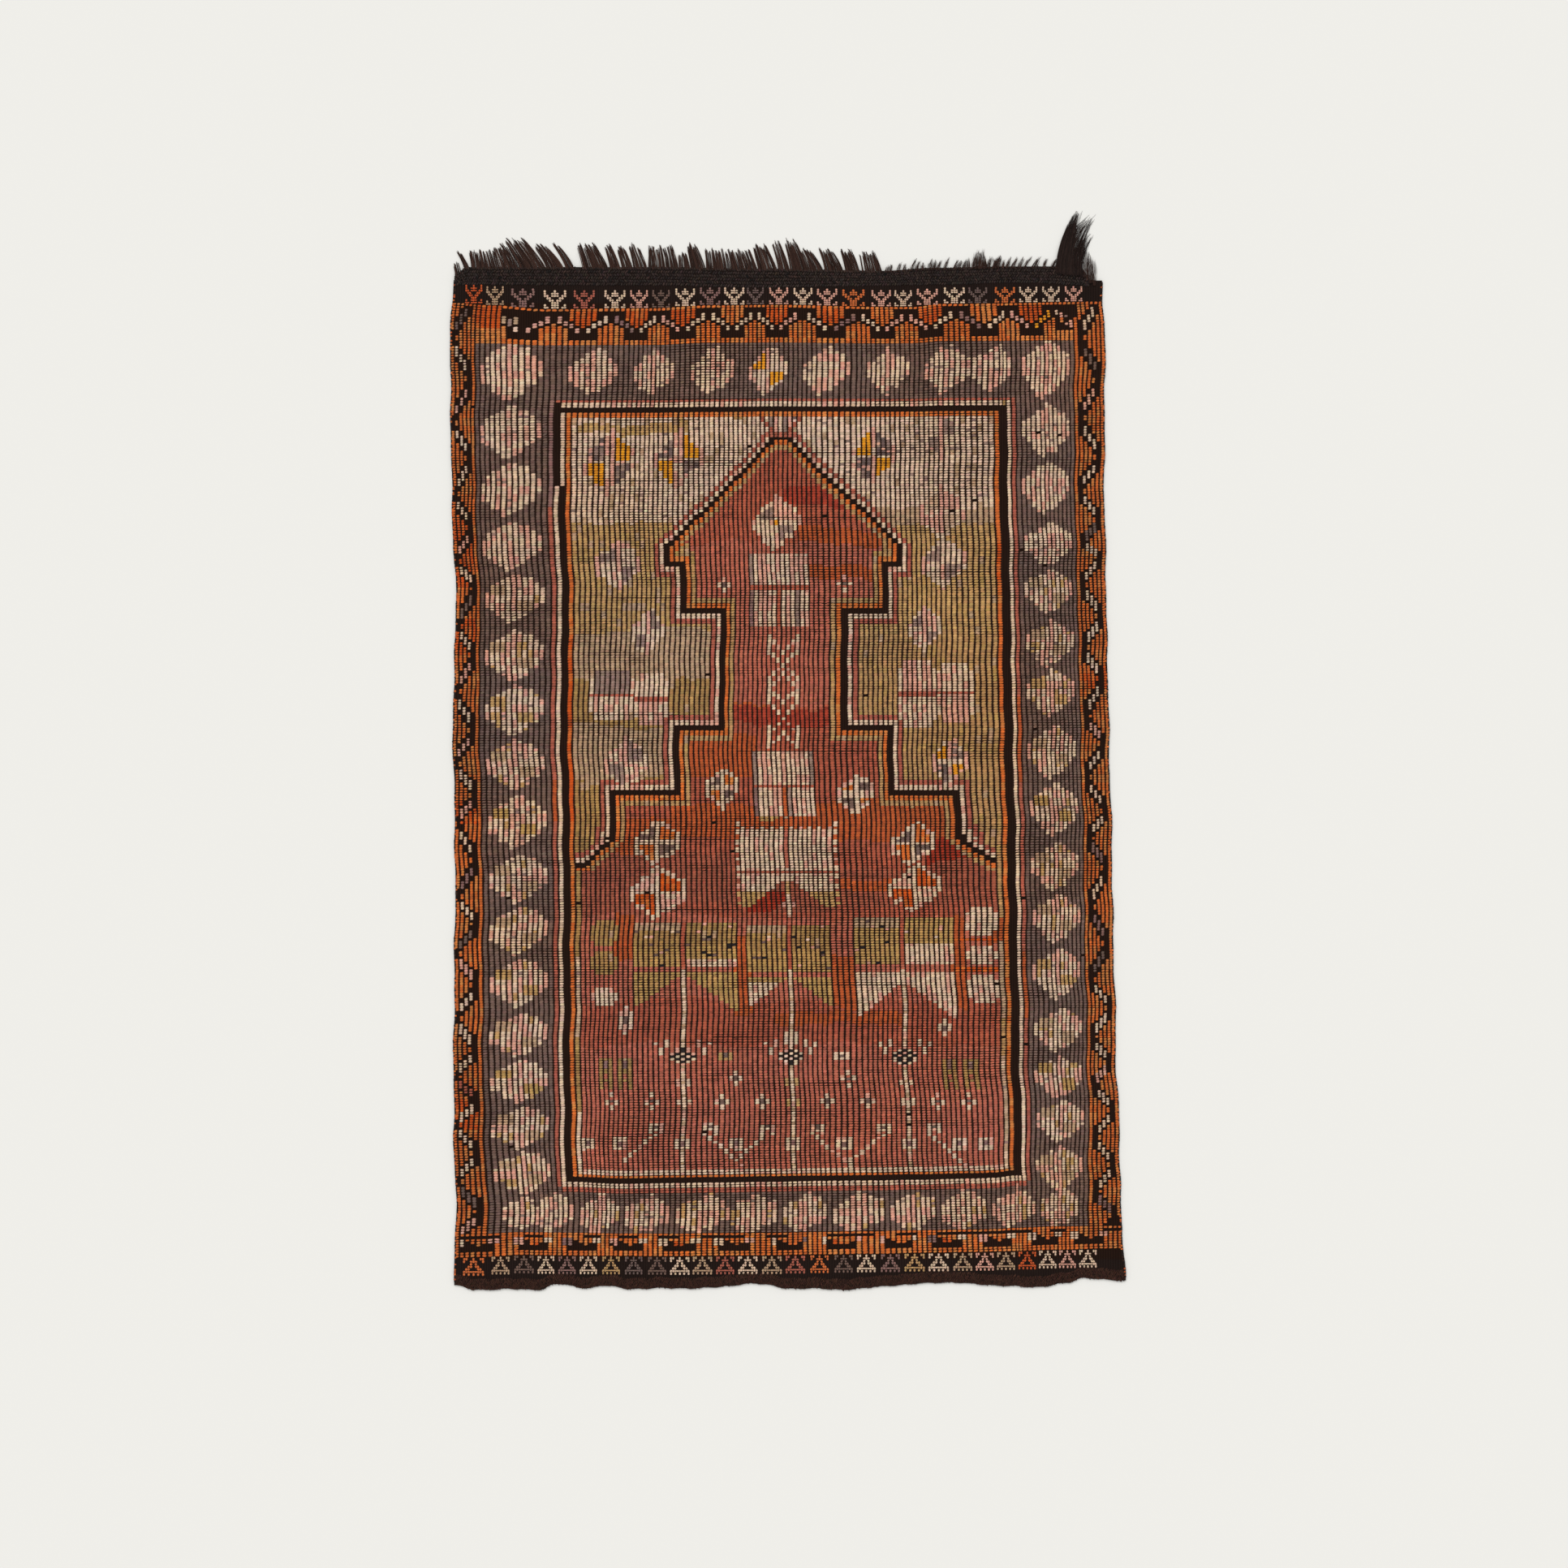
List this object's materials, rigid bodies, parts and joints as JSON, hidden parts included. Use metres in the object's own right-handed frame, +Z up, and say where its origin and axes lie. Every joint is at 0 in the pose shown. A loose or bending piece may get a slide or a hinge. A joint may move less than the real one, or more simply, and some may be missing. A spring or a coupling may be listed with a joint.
{
  "type": "cicim prayer rug",
  "caption": "Flat brocaded wool prayer rug with a stepped niche, hexagon and zigzag borders, a coarse hem, a twined head with fringe and a long unravelled tail.",
  "frame": {"origin": "centre of the rug's outline, on the floor that it lies on", "axes": "+Z up out of the rug's face, +Y along the rug from its hem to its fringed head, +X to the right seen from above"},
  "size_m": [0.924, 1.4776, 0.0043],
  "materials": {
    "brocaded_wool": "matt handspun wool",
    "heading_wool": "matt near-black goat hair and wool",
    "tail_wool": "matt unravelled dark wool"
  },
  "bodies": {
    "root": {"rug_panel": "brocaded_wool", "heading_fringe": "heading_wool", "braid_tail": "tail_wool"}
  },
  "joints": []
}
